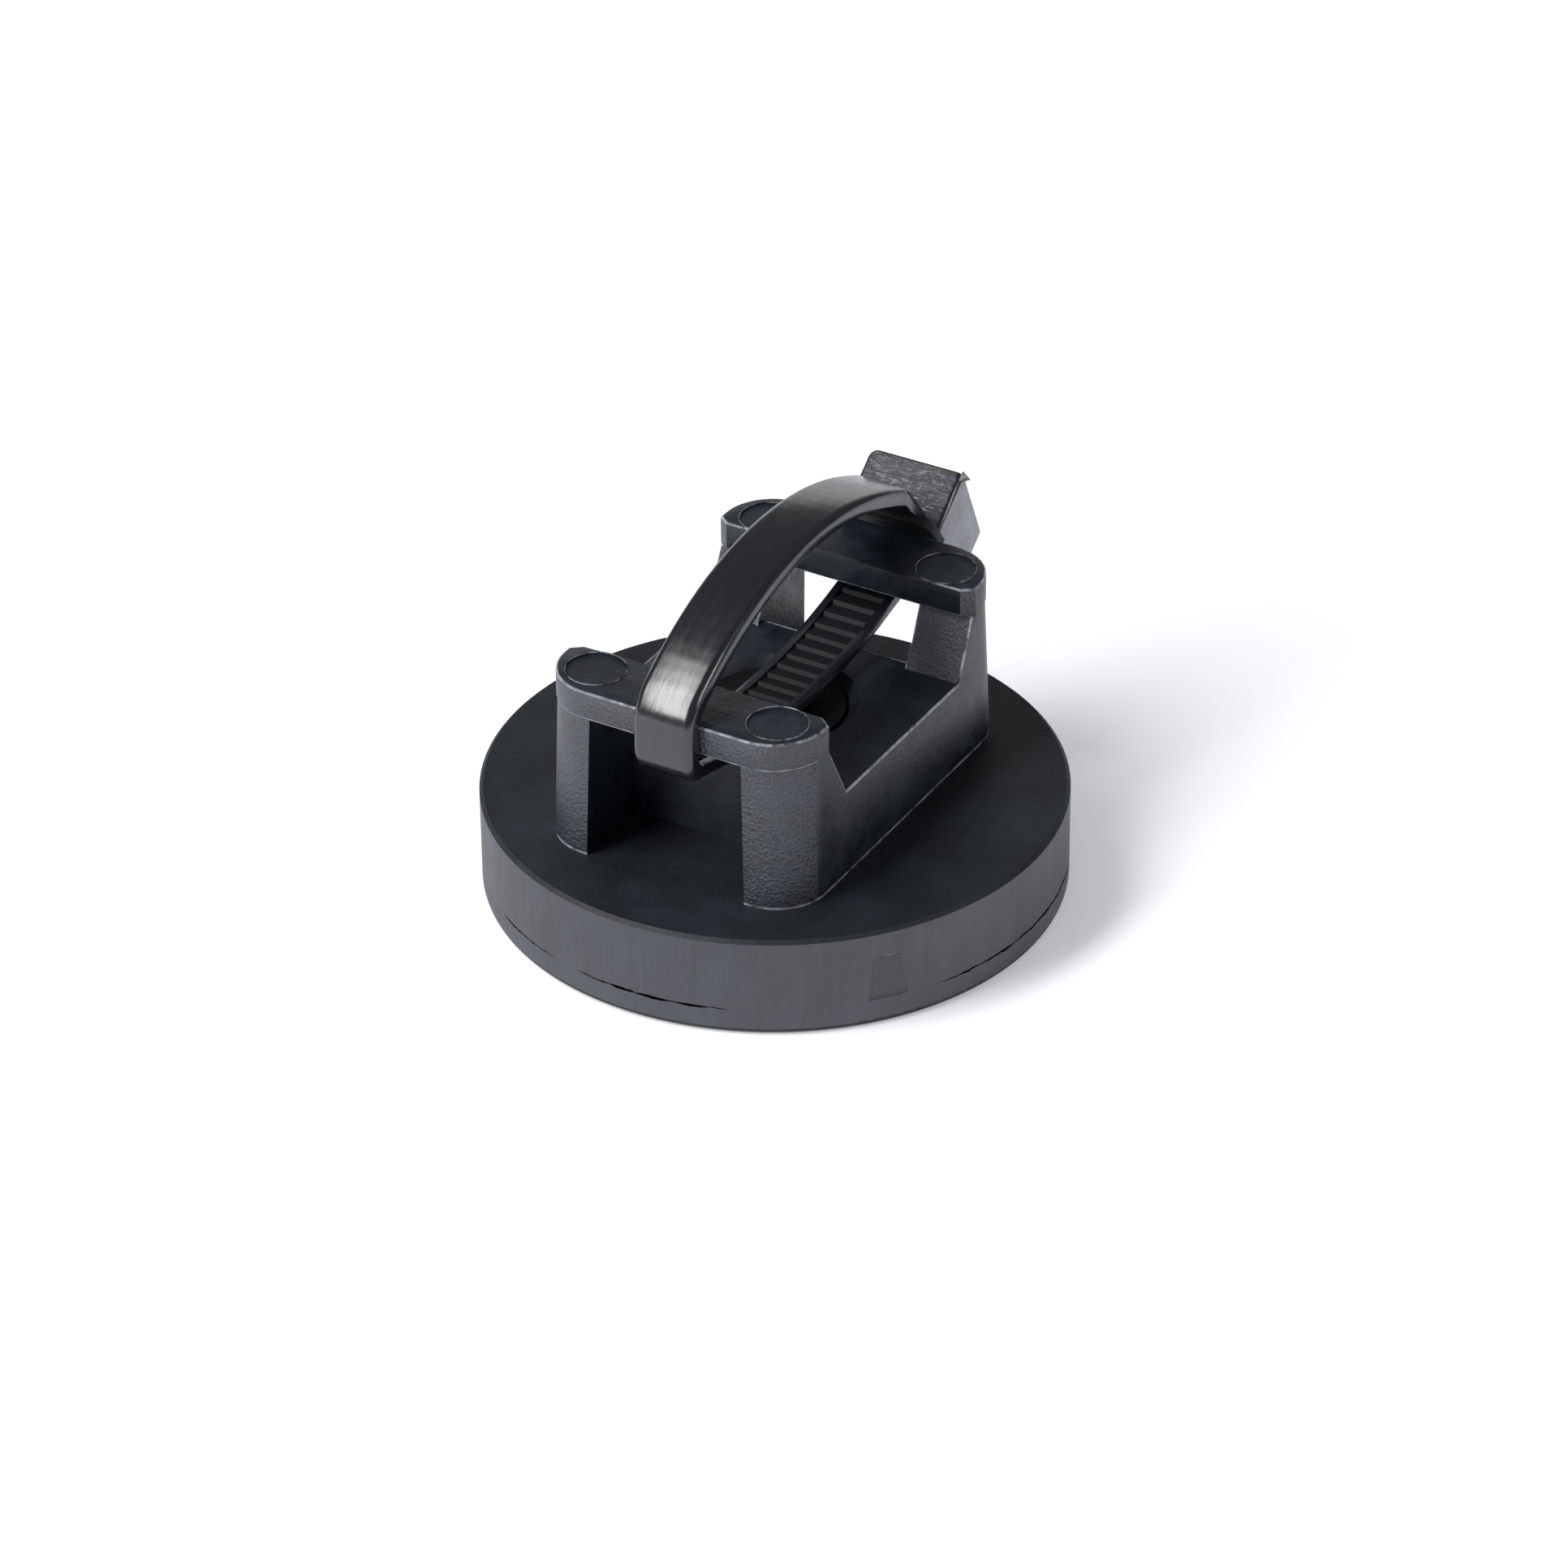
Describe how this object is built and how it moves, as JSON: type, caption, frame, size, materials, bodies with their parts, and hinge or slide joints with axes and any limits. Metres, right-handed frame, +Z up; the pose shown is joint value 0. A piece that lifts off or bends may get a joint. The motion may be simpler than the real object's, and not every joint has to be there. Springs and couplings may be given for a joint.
{
  "type": "cable tie mount",
  "caption": "Round rubber coated magnet with a moulded saddle whose two bars take a cable tie over a cable cradle, with the tie closed through it.",
  "frame": {"origin": "centre of the magnet's gripping face", "axes": "+Z up out of the gripping face, X along the cable, -Y the front where the strap comes down, +Y the rear where the tie's head is"},
  "size_m": [0.031, 0.032, 0.0208],
  "materials": {
    "rubber": "matt",
    "plate_steel": "zinc plated",
    "magnet_nickel": "nickel plated",
    "bush_steel": "zinc plated",
    "saddle_nylon": "fine spark eroded grain",
    "screw_steel": "zinc plated",
    "tie_nylon": "gloss"
  },
  "bodies": {
    "root": {"rubber_jacket": "rubber", "backing_plate": "plate_steel", "magnet_1": "magnet_nickel", "magnet_2": "magnet_nickel", "magnet_3": "magnet_nickel", "magnet_4": "magnet_nickel", "magnet_5": "magnet_nickel", "magnet_6": "magnet_nickel", "threaded_bush": "bush_steel", "saddle": "saddle_nylon", "saddle_screw": "screw_steel", "cable_tie": "tie_nylon"}
  },
  "joints": []
}
